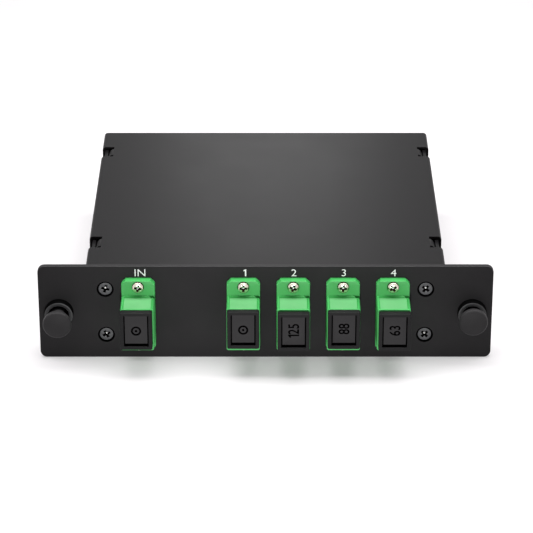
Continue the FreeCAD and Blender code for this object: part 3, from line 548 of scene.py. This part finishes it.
def adapterMesh():
    # the moulded tube and its ear plate, about the panel's front plane and middle
    spec = adapter
    front = -spec["front"]
    rear = spec["rear"]
    ear = -spec["earThickness"]
    halfHeight = spec["height"] / 2
    halfWidth = spec["width"] / 2
    outline = oblong(spec["width"], spec["height"], spec["corner"])
    tube = eased(prismMesh("tube", outline, front, rear), spec["ease"], spec["easeSteps"])
    outline = oblong(spec["earWidth"], spec["earHeight"], spec["earCorner"])
    plate = eased(prismMesh("plate", outline, ear, 0), spec["ease"], spec["easeSteps"])
    whole = cutFrom(painted(tube, greenPlastic), [painted(plate, greenPlastic)], "UNION")
    boreHeight = spec["height"] - 2 * spec["wall"]
    mouth = oblong(spec["mouthWidth"], spec["mouthHeight"])
    bore = oblong(spec["mouthWidth"], boreHeight)
    cutters = [prismMesh("mouth", mouth, front - mm, rear + mm),
               prismMesh("bore", bore, front + spec["lip"], rear - spec["lip"])]
    keySide = spec["mouthWidth"] / 2
    keyLow = (keySide - spec["keyDepth"], front - mm, -spec["keyWidth"] / 2)
    keyHigh = (keySide + spec["keyDepth"], 0, spec["keyWidth"] / 2)
    cutters.append(blockMesh("keyway", keyLow, keyHigh))
    for level in (-1, 1):
        face = level * halfHeight
        inner = halfWidth - spec["margin"]
        near = front + spec["margin"]
        far = ear - spec["margin"]
        rings = []
        # the inset's walls are drafted, so it widens towards the face
        for depth, grow in ((spec["inset"], 0), (-spec["inset"], spec["draft"])):
            z = face - level * depth
            rings.append([(-inner - grow, near - grow, z), (inner + grow, near - grow, z),
                          (inner + grow, far + grow, z), (-inner - grow, far + grow, z)])
        sunk = painted(ringsMesh("inset", rings), greenSide)
        sunk.materials.append(greenPanel)
        sunk.polygons[0].material_index = 1
        cutters.append(sunk)
        hole = drumMesh("hole", spec["holeRadius"], ear - mm, mm, spec["holeFacets"])
        cutters.append(moved(hole, Matrix.Translation((0, 0, level * spec["holeSpacing"] / 2))))
        scoop = drumMesh("scallop", spec["scallopRadius"], ear - spec["scallopLength"], ear,
                         spec["scallopFacets"])
        rise = halfHeight - spec["scallopDepth"] + spec["scallopRadius"]
        cutters.append(moved(scoop, Matrix.Translation((0, 0, level * rise))))
        spare = spec["inset"]
        triangle = [(halfWidth - spec["nick"], ear), (halfWidth + spare, ear),
                    (halfWidth + spare, ear - spec["nick"] - spare)]
        low = face - level * spec["nickDepth"]
        high = face + level * spare
        nick = ringsMesh("nick", [[(x, y, z) for x, y in triangle] for z in (low, high)])
        cutters.append(painted(nick, greenSide))
    for cutter in cutters:
        if not cutter.materials:
            painted(cutter, greenPlastic)
    whole = cutFrom(whole, cutters)
    smooth(whole)
    return flattened(whole)


adapterShape = adapterMesh()
latchInsert = {"ease": 0.05 * mm, "easeSteps": 1, "edgeAngle": 35}
for port in ports:
    place = Matrix.Translation((middleOf("adapter_" + port).x, panelFront, panelMiddle))
    standIn("adapter_" + port, "adapter" + port.title(), moved(adapterShape, place))
    for end in ("front", "rear"):
        node = f"latch_insert_{port}_{end}"
        insert = eased(cadCopy(node), latchInsert["ease"], latchInsert["easeSteps"],
                       latchInsert["edgeAngle"])
        standIn(node, f"latchInsert{port.title()}{end.title()}", insert)

# caps: a number is engraved in a face, read from its foot upwards, or the gate's mark sits there
cap = {"width": 9.1 * mm, "height": 11.6 * mm, "rise": 0.8 * mm, "thickness": 2.0 * mm,
       "frame": 1.05 * mm, "sill": 1.0 * mm, "recess": 0.45 * mm, "sideGroove": 0.35 * mm,
       "footGroove": 0.85 * mm, "grooveDepth": 1.0 * mm, "corner": 0.3 * mm, "ring": 1.45 * mm,
       "button": 0.92 * mm, "dimple": 0.36 * mm, "gateDepth": 0.4 * mm, "plugClearance": 0.1 * mm,
       "plugWall": 0.8 * mm, "plugCollar": 3.4 * mm, "plugTongue": 6.6 * mm, "ease": 0.16 * mm,
       "easeSteps": 3, "root": 0.5 * mm, "draft": 0.2 * mm, "overcut": 0.15 * mm,
       "overlap": 0.02 * mm, "ringFacets": 64, "dimpleFacets": 32}
# how far each head sits off its plug's axis, across and up
settle = {"in": (-0.2 * mm, -0.05 * mm), "1": (0.0, 0.05 * mm), "2": (0.04 * mm, -0.3 * mm),
          "3": (0.05 * mm, 0.0), "4": (0.2 * mm, -0.3 * mm)}
# the room of a one's stem and the gap after it are shares of the height
figures = {"words": {"2": "125", "3": "88", "4": "63"}, "height": 3.1 * mm, "narrow": 0.82,
           "depth": 0.25 * mm, "bold": 0.014, "stem": 0.4, "gap": 0.12}


def figureOne(height, thickness):
    # a stem with a slanted flag, in shares of the height
    outline = [(0.02, -0.5), (0.2, -0.5), (0.2, 0.5), (0.06, 0.5),
               (-0.2, 0.34), (-0.13, 0.2), (0.02, 0.28)]
    points = [(x * height, z * height) for x, z in outline]
    return prismMesh("figureOne", points, -thickness / 2, thickness / 2)


def figureMesh(words):
    # a flagged one before the other figures
    height = figures["height"]
    depth = 2 * figures["depth"]
    rest = words.lstrip("1")
    number = textMesh("number", rest, height, depth, figures["bold"])
    if rest == words:
        return number
    half = max(vertex.co.x for vertex in number.vertices)
    stem = figures["stem"] * height
    gap = figures["gap"] * height
    one = moved(figureOne(height, depth), Matrix.Translation((-half - gap, 0, 0)))
    both = joined("number", [one, moved(number, Matrix.Translation((gap, 0, 0)))])
    return moved(both, Matrix.Translation((stem / 4, 0, 0)))


def capMesh(port):
    # the head's back lies in the plane y = 0, its plug behind it
    face = -cap["thickness"]
    rise = cap["rise"]
    shift, lift = settle[port]
    head = prismMesh("head", oblong(cap["width"], cap["height"], cap["corner"], rise), face, 0)
    head = painted(eased(head, cap["ease"], cap["easeSteps"]), capBlack)
    offAxis = Matrix.Translation((shift, 0, lift))
    head.transform(offAxis)
    plugWidth = adapter["mouthWidth"] - 2 * cap["plugClearance"]
    plugHeight = adapter["mouthHeight"] - 2 * cap["plugClearance"]
    plug = prismMesh("plug", oblong(plugWidth, plugHeight), -cap["root"], cap["plugTongue"])
    head = cutFrom(head, [painted(plug, capBlack)], "UNION")
    wall = cap["plugWall"]
    end = cap["plugTongue"] + mm
    hollow = prismMesh("hollow", oblong(plugWidth - 2 * wall, plugHeight - 2 * wall), 0, end)
    cutters = [painted(hollow, capBlack)]
    for level in (-1, 1):
        low, high = sorted((level * (plugHeight / 2 - 2 * wall), level * plugHeight))
        gap = blockMesh("gap", (-plugWidth, cap["plugCollar"], low), (plugWidth, end, high))
        cutters.append(painted(gap, capBlack))
    innerWidth = cap["width"] - 2 * cap["frame"]
    innerHeight = cap["height"] - 2 * cap["sill"]
    floor = face + cap["recess"]
    outer = oblong(innerWidth + cap["draft"], innerHeight + cap["draft"], 0, rise)
    inner = oblong(innerWidth, innerHeight, 0, rise)
    recess = ringsMesh("recess", [[(x, face - cap["overcut"], z) for x, z in outer],
                                  [(x, floor, z) for x, z in inner]])
    marks = [painted(recess, capFaceLight)]
    bottom = rise - innerHeight / 2
    side = innerWidth / 2
    deep = floor + cap["grooveDepth"]
    early = floor - cap["overlap"]
    for low, high in (((-side, bottom), (side, bottom + cap["footGroove"])),
                      ((-side, bottom), (cap["sideGroove"] - side, bottom + innerHeight)),
                      ((side - cap["sideGroove"], bottom), (side, bottom + innerHeight))):
        groove = blockMesh("groove", (low[0], early, low[1]), (high[0], deep, high[1]))
        marks.append(painted(groove, capDeep))
    if port in figures["words"]:
        number = figureMesh(figures["words"][port])
        squeeze = Matrix.Diagonal((figures["narrow"], 1, 1, 1))
        upright = Matrix.Rotation(math.radians(-90), 4, "Y")
        spot = Matrix.Translation((0, floor, rise + cap["footGroove"] / 2))
        marks.append(painted(moved(number, spot @ upright @ squeeze), capDeep))
    else:
        sunk = floor + cap["gateDepth"]
        section = [(cap["button"], early), (cap["ring"], early), (cap["ring"], sunk),
                   (cap["button"], sunk)]
        ring = latheMesh("ring", section, cap["ringFacets"])
        dimple = drumMesh("dimple", cap["dimple"], early, sunk, cap["dimpleFacets"])
        centred = Matrix.Translation((0, 0, rise))
        marks += [painted(moved(ring, centred), capDeep), painted(moved(dimple, centred), capDeep)]
    head = cutFrom(head, cutters + [moved(mark, offAxis) for mark in marks])
    smooth(head)
    return flattened(head)


for port in ports:
    low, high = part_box("dust_cap_" + port)
    place = Matrix.Translation(((low.x + high.x) / 2, low.y + cap["thickness"], panelMiddle))
    standIn("dust_cap_" + port, "dustCap" + port.title(), moved(capMesh(port), place))
print("ports made")

# screws: the cross recess narrows from its mouth to its tip, in shares of its reach, and the turns
# are how each one was left, in degrees
adapterScrew = {"headRadius": 1.7 * mm, "headHeight": 1.2 * mm, "shankRadius": 1.0 * mm,
                "rimShare": 0.35, "rimEase": 0.1, "domeSteps": 8, "domePower": 0.8,
                "sideSlope": 0.86, "crossReach": 1.4 * mm, "crossWidth": 0.8 * mm,
                "crossDepth": 0.75 * mm, "crossTip": 0.22,
                "turns": (10, 50, 0, 30, 20, 70, 5, 40, 60, 25)}
panelScrew = {"headRadius": 1.95 * mm, "shankRadius": 1.0 * mm, "rim": 0.1 * mm, "neck": 0.05 * mm,
              "crossReach": 1.4 * mm, "crossWidth": 0.84 * mm, "crossDepth": 0.8 * mm,
              "crossTip": 0.16, "turns": (15, 62, 38, 45)}
screwFinish = {"facets": 48, "ease": 0.04 * mm, "easeSteps": 2, "edgeAngle": 35, "crossMouth": 1.2,
               "wingTaper": 0.6}


def crossCutter(spec, front, finish):
    # four wings that narrow towards the bottom of the recess, from a little before the head's face
    rings = []
    depth = spec["crossDepth"]
    taper = screwFinish["wingTaper"]
    for distance, share in ((front - depth / 2, screwFinish["crossMouth"]),
                            (front + depth, spec["crossTip"])):
        long = spec["crossReach"] * share
        half = spec["crossWidth"] / 2 * (1 - taper + taper * share)
        outline = []
        for turn in range(4):
            angle = math.radians(90 * turn)
            for along, across in ((long, -half), (long, half), (half, half)):
                outline.append((along * math.cos(angle) - across * math.sin(angle), distance,
                                along * math.sin(angle) + across * math.cos(angle)))
        rings.append(outline)
    mesh = painted(ringsMesh("cross", rings), finish)
    # the bottom face of the recess is painted bright steel as a glint
    mesh.materials.append(glintSteel)
    mesh.polygons[1].material_index = 1
    return mesh


def screwMesh(name, profile, spec, front, finish, recessFinish):
    # a turned screw with its cross recess cut in, and its edges eased
    head = painted(latheMesh(name, profile, screwFinish["facets"]), finish)
    head = cutFrom(head, [crossCutter(spec, front, recessFinish)])
    return eased(head, screwFinish["ease"], screwFinish["easeSteps"], screwFinish["edgeAngle"])


def panHead(spec, length):
    # a low dome over a short rim
    radius = spec["headRadius"]
    height = spec["headHeight"]
    shank = spec["shankRadius"]
    rim = spec["rimShare"] * height
    ease = spec["rimEase"] * rim
    steps = spec["domeSteps"]
    profile = [(0, -height)]
    for step in range(1, steps + 1):
        angle = math.pi / 2 * step / steps
        profile.append((radius * math.sin(angle) ** spec["domePower"],
                        -rim - (height - rim) * math.cos(angle)))
    profile += [(radius, -ease), (radius - ease, 0), (shank, 0), (shank, length), (0, length)]
    head = screwMesh("panHead", profile, spec, -height, nickel, brownShade)
    # the rim faces the port's walls, so it is painted with the recess's brown as their painted
    # reflection
    for face in head.polygons:
        outward = math.hypot(face.normal.x, face.normal.z)
        if face.material_index == 0 and outward > spec["sideSlope"]:
            face.material_index = 1
    return head


def flatHead(spec, length):
    # a cone under a flat face
    radius = spec["headRadius"]
    shank = spec["shankRadius"]
    profile = [(0, 0), (radius - spec["rim"], 0), (radius, spec["rim"]),
               (shank, radius - shank + spec["neck"]), (shank, length), (0, length)]
    return screwMesh("flatHead", profile, spec, 0, screwBlack, recessShade)


def placedScrews(name, screw, places, turns):
    # all the screws of one kind in one mesh
    copies = []
    for place, degrees in zip(places, turns):
        turned = Matrix.Rotation(math.radians(degrees), 4, "Y")
        copies.append(moved(screw, Matrix.Translation(place) @ turned))
    mesh = joined(name, copies)
    smooth(mesh)
    return mesh


screwLow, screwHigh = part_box("adapter_screws")
earRise = adapter["holeSpacing"] / 2
seat = screwLow.y + adapterScrew["headHeight"]
places = [Vector((middleOf("adapter_" + port).x, seat, panelMiddle + level * earRise))
          for port in ports for level in (1, -1)]
screw = panHead(adapterScrew, screwHigh.y - seat)
standIn("adapter_screws", "adapterScrews",
        placedScrews("adapterScrews", screw, places, adapterScrew["turns"]))

screwLow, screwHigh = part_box("panel_screws")
across = (screwHigh.x - screwLow.x) / 2 - panelScrew["headRadius"]
rise = (screwHigh.z - screwLow.z) / 2 - panelScrew["headRadius"]
places = [Vector((side * across, screwLow.y, panelMiddle + level * rise))
          for side in (-1, 1) for level in (1, -1)]
screw = flatHead(panelScrew, screwHigh.y - screwLow.y)
standIn("panel_screws", "panelScrews",
        placedScrews("panelScrews", screw, places, panelScrew["turns"]))
print("screws made")

# push-pull fasteners: heights and depths run along the stem, from the knob's or the ring's face
knob = {"radius": 4.08 * mm, "neck": 2.05 * mm, "crown": 0.4 * mm, "thickness": 2.3 * mm,
        "rim": 0.75 * mm, "backRim": 0.55 * mm, "fillet": 0.25 * mm, "head": 2.0 * mm,
        "headPlay": 0.05 * mm, "headEase": 0.2 * mm, "crownSteps": 10, "rimSteps": 8,
        "backRimSteps": 6, "backRimTurn": 80}
collar = {"radius": 4.15 * mm, "height": 2.5 * mm, "mouth": 3.0 * mm, "mouthDepth": 0.9 * mm,
          "mouthDraft": 0.3 * mm, "mouthEase": (0.12 * mm, 0.15 * mm), "throat": 2.12 * mm,
          "barrel": 3.4 * mm, "shoulder": 3.6 * mm, "bore": 2.7 * mm, "slot": 0.8 * mm,
          "slotStart": 1.0 * mm, "bevel": 0.35 * mm, "bevelBulge": 0.3, "panelGap": 0.02 * mm,
          "legEase": (0.15 * mm, 0.3 * mm), "facing": -0.5}
fastener = {"facets": 96, "edgeAngle": 40, "slotTurns": (45, 135)}


def arc(centreRadius, centreDistance, size, start, end, steps):
    # points round a corner of a lathe profile, by angle from the outward radius
    turns = [math.radians(start + (end - start) * step / steps) for step in range(steps + 1)]
    return [(centreRadius + size * math.cos(t), centreDistance + size * math.sin(t)) for t in turns]


def plungerMesh(length):
    # a domed knob with a rolled rim, its stem and the head that spreads the legs
    radius, rim, backRim = knob["radius"], knob["rim"], knob["backRim"]
    neck, back, fillet = knob["neck"], knob["thickness"], knob["fillet"]
    profile = [(0, 0)]
    for step in range(1, knob["crownSteps"]):
        share = step / knob["crownSteps"]
        profile.append(((radius - rim) * share, knob["crown"] * share ** 2))
    profile += arc(radius - rim, knob["crown"] + rim, rim, -90, 0, knob["rimSteps"])
    profile += arc(radius - backRim, back - backRim, backRim, 0, knob["backRimTurn"],
                   knob["backRimSteps"])
    profile += [(neck + fillet, back), (neck, back + fillet)]
    head = length - knob["head"]
    wide = collar["bore"] - knob["headPlay"]
    ease = knob["headEase"]
    profile += [(neck, head), (wide, head), (wide, length - ease), (wide - ease, length),
                (0, length)]
    mesh = latheMesh("plunger", profile, fastener["facets"])
    smooth(mesh, fastener["edgeAngle"])
    return mesh


def grommetMesh(panel, length):
    # distances from the collar's face: the ring and its mouth, the shoulder in the panel, the legs
    height, edge = collar["height"], collar["bevel"]
    radius, mouth, barrel = collar["radius"], collar["mouth"], collar["barrel"]
    back = height + panel
    seat = height - collar["panelGap"]
    bulge = collar["bevelBulge"] * edge
    mouthIn, mouthDown = collar["mouthEase"]
    legIn, legUp = collar["legEase"]
    profile = [(mouth - collar["mouthDraft"], collar["mouthDepth"]), (mouth, mouthDown),
               (mouth + mouthIn, 0), (radius - edge, 0), (radius - bulge, bulge), (radius, edge),
               (radius, seat), (collar["shoulder"], seat), (collar["shoulder"], back),
               (barrel, back), (barrel, length - legUp), (barrel - legIn, length),
               (collar["bore"], length), (collar["bore"], back), (collar["throat"], back),
               (collar["throat"], collar["mouthDepth"])]
    mesh = latheMesh("grommet", profile, fastener["facets"])
    start = back + collar["slotStart"]
    slots = []
    for degrees in fastener["slotTurns"]:
        block = blockMesh("slot", (-2 * barrel, start, -collar["slot"] / 2),
                          (2 * barrel, length + mm, collar["slot"] / 2))
        slots.append(moved(block, Matrix.Rotation(math.radians(degrees), 4, "Y")))
    mesh = painted(cutFrom(mesh, slots), knobBlack)
    mesh.materials.append(ringLight)
    mesh.materials.append(throatBlack)
    # the ring's front face is painted paler as light, its side and throat darker as shade
    for face in mesh.polygons:
        if face.center.y < edge:
            face.material_index = 1 if face.normal.y < collar["facing"] else 2
        elif face.center.y < height:
            face.material_index = 2
    smooth(mesh, fastener["edgeAngle"])
    return mesh


def frontPlace(low, high):
    # the middle of the front of a box
    return Matrix.Translation(((low.x + high.x) / 2, low.y, (low.z + high.z) / 2))


for side in ("left", "right"):
    low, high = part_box(side + "_grommet")
    mesh = moved(grommetMesh(panelBack - panelFront, high.y - low.y), frontPlace(low, high))
    standIn(side + "_grommet", side + "Grommet", mesh)
    low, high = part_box(side + "_plunger")
    mesh = moved(plungerMesh(high.y - low.y), frontPlace(low, high))
    standIn(side + "_plunger", side + "Plunger", mesh)
print("fasteners made")

# inside the ports: smooth split sleeves
sleeve = {"outer": 1.6 * mm, "bore": 1.25 * mm, "slit": 0.5 * mm, "facets": 48, "edgeAngle": 40}
for port in ports:
    low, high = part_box("split_sleeve_" + port)
    half = (high.y - low.y) / 2
    section = [(sleeve["bore"], -half), (sleeve["outer"], -half), (sleeve["outer"], half),
               (sleeve["bore"], half)]
    tube = latheMesh("sleeve", section, sleeve["facets"])
    slit = blockMesh("slit", (-sleeve["slit"] / 2, -2 * half, 0),
                     (sleeve["slit"] / 2, 2 * half, 2 * sleeve["outer"]))
    tube = cutFrom(tube, [slit])
    smooth(tube, sleeve["edgeAngle"])
    centre = Matrix.Translation(((low.x + high.x) / 2, (low.y + high.y) / 2, panelMiddle))
    standIn("split_sleeve_" + port, "splitSleeve" + port.title(), moved(tube, centre))
print("sleeves made")

# port labels in white ink, each a little to one side of its port's middle
labels = {"height": 2.15 * mm, "wide": 1.1, "thickness": 0.02 * mm, "level": 27.0 * mm,
          "bold": -0.006,
          "shift": {"in": 0.55 * mm, "1": 0.4 * mm, "2": 0.2 * mm, "3": 0.2 * mm, "4": 0.2 * mm},
          "words": {"in": "IN", "1": "1", "2": "2", "3": "3", "4": "4"}}

prints = []
for port, words in labels["words"].items():
    if words == "1":
        letters = figureOne(labels["height"], labels["thickness"])
    else:
        letters = textMesh("label", words, labels["height"], labels["thickness"], labels["bold"])
        letters.transform(Matrix.Diagonal((labels["wide"], 1, 1, 1)))
    spot = Matrix.Translation((middleOf("adapter_" + port).x + labels["shift"][port],
                               panelFront - labels["thickness"] / 2, labels["level"]))
    prints.append(moved(letters, spot))
newPiece("portLabels", joined("portLabels", prints), ink)
print("labels made")

# floor, world, lamps and camera
stage = {"floorSize": 6.0, "floorColour": "#c5c2c4", "floorGlow": 0.28, "worldColour": "#ffffff",
         "worldStrength": 0.1}


def seenRays(tree):
    # 1 for what is seen straight, mirrored or through glass, 0 for light that falls on things
    rays = addNode(tree, "ShaderNodeLightPath").outputs
    seen = rays["Is Camera Ray"]
    for kind in ("Is Glossy Ray", "Is Transmission Ray"):
        seen = addNode(tree, "ShaderNodeMath", {0: seen, 1: rays[kind]},
                       operation="MAXIMUM").outputs[0]
    return seen


def makeFloor():
    # a matt floor that takes the shadow, with a glow that only eyes and mirrors see
    work = bmesh.new()
    bmesh.ops.create_grid(work, x_segments=1, y_segments=1, size=stage["floorSize"] / 2)
    mesh = bpy.data.meshes.new("floor")
    work.to_mesh(mesh)
    work.free()
    floor = bpy.data.objects.new("floor", mesh)
    bpy.context.scene.collection.objects.link(floor)
    material = bpy.data.materials.new("whiteStudioFloor")
    material.use_nodes = True
    tree = material.node_tree
    tree.nodes.clear()
    matt = addNode(tree, "ShaderNodeBsdfDiffuse", {"Color": colour(stage["floorColour"])})
    lift = addNode(tree, "ShaderNodeMath", {0: seenRays(tree), 1: stage["floorGlow"]},
                   operation="MULTIPLY")
    glow = addNode(tree, "ShaderNodeEmission", {"Strength": lift.outputs[0]})
    both = addNode(tree, "ShaderNodeAddShader", {0: matt.outputs[0], 1: glow.outputs[0]})
    addNode(tree, "ShaderNodeOutputMaterial", {"Surface": both.outputs[0]})
    mesh.materials.append(material)


def makeWorld():
    # white where it is seen, dim where it lights
    world = bpy.data.worlds.new("studio")
    bpy.context.scene.world = world
    world.use_nodes = True
    tree = world.node_tree
    tree.nodes.clear()
    strength = addNode(tree, "ShaderNodeMapRange",
                       {"Value": seenRays(tree), "To Min": stage["worldStrength"], "To Max": 1.0})
    back = addNode(tree, "ShaderNodeBackground",
                   {"Color": colour(stage["worldColour"]), "Strength": strength.outputs["Result"]})
    addNode(tree, "ShaderNodeOutputWorld", {"Surface": back.outputs[0]})


# places and sizes in metres, powers in watts, the cone in degrees
lamps = {
    "overhead": {"kind": "AREA", "place": (0.0, -0.02, 0.48), "aim": (0.0, -0.05, 0.0),
                 "size": (1.1, 0.3), "power": 7.0},
    "rear": {"kind": "AREA", "place": (0.0, 0.3, 0.14), "aim": (0.0, 0.03, 0.03),
             "size": (0.08, 0.06), "power": 0.08},
    "front": {"kind": "SPOT", "place": (0.0, -0.95, 0.05), "aim": (0.0, -0.05, 0.02),
              "cone": 11.0, "softness": 0.02, "power": 21.0},
}


def facing(place, aim):
    # the turn that points a lamp or camera at its aim
    return (aim - place).to_track_quat("-Z", "Y").to_euler()


def makeLamps():
    for name, spec in lamps.items():
        light = bpy.data.lights.new(name, spec["kind"])
        light.energy = spec["power"]
        if spec["kind"] == "AREA":
            light.shape = "RECTANGLE"
            light.size, light.size_y = spec["size"]
        else:
            light.spot_size = math.radians(spec["cone"])
            light.spot_blend = 1.0
            light.shadow_soft_size = spec["softness"]
        lamp = bpy.data.objects.new(name, light)
        lamp.location = spec["place"]
        lamp.rotation_euler = facing(lamp.location, Vector(spec["aim"]))
        bpy.context.scene.collection.objects.link(lamp)


# the camera stands in front of the ports and looks down on the cover
shot = {"target": (0.29 * mm, 0, 4.49 * mm), "elevation": 25.65, "distance": 790.7 * mm,
        "lens": 174.32, "sensor": 36, "clipStart": 0.01, "clipEnd": 20}


def makeCamera():
    camera = bpy.data.objects.new("camera", bpy.data.cameras.new("camera"))
    camera.data.sensor_width = shot["sensor"]
    camera.data.lens = shot["lens"]
    camera.data.clip_start = shot["clipStart"]
    camera.data.clip_end = shot["clipEnd"]
    rise = math.radians(shot["elevation"])
    target = Vector(shot["target"])
    camera.location = target + shot["distance"] * Vector((0, -math.cos(rise), math.sin(rise)))
    camera.rotation_euler = facing(camera.location, target)
    bpy.context.scene.collection.objects.link(camera)
    bpy.context.scene.camera = camera


makeFloor()
makeWorld()
makeLamps()
makeCamera()
bpy.context.scene.view_settings.view_transform = "Standard"
print("studio made")
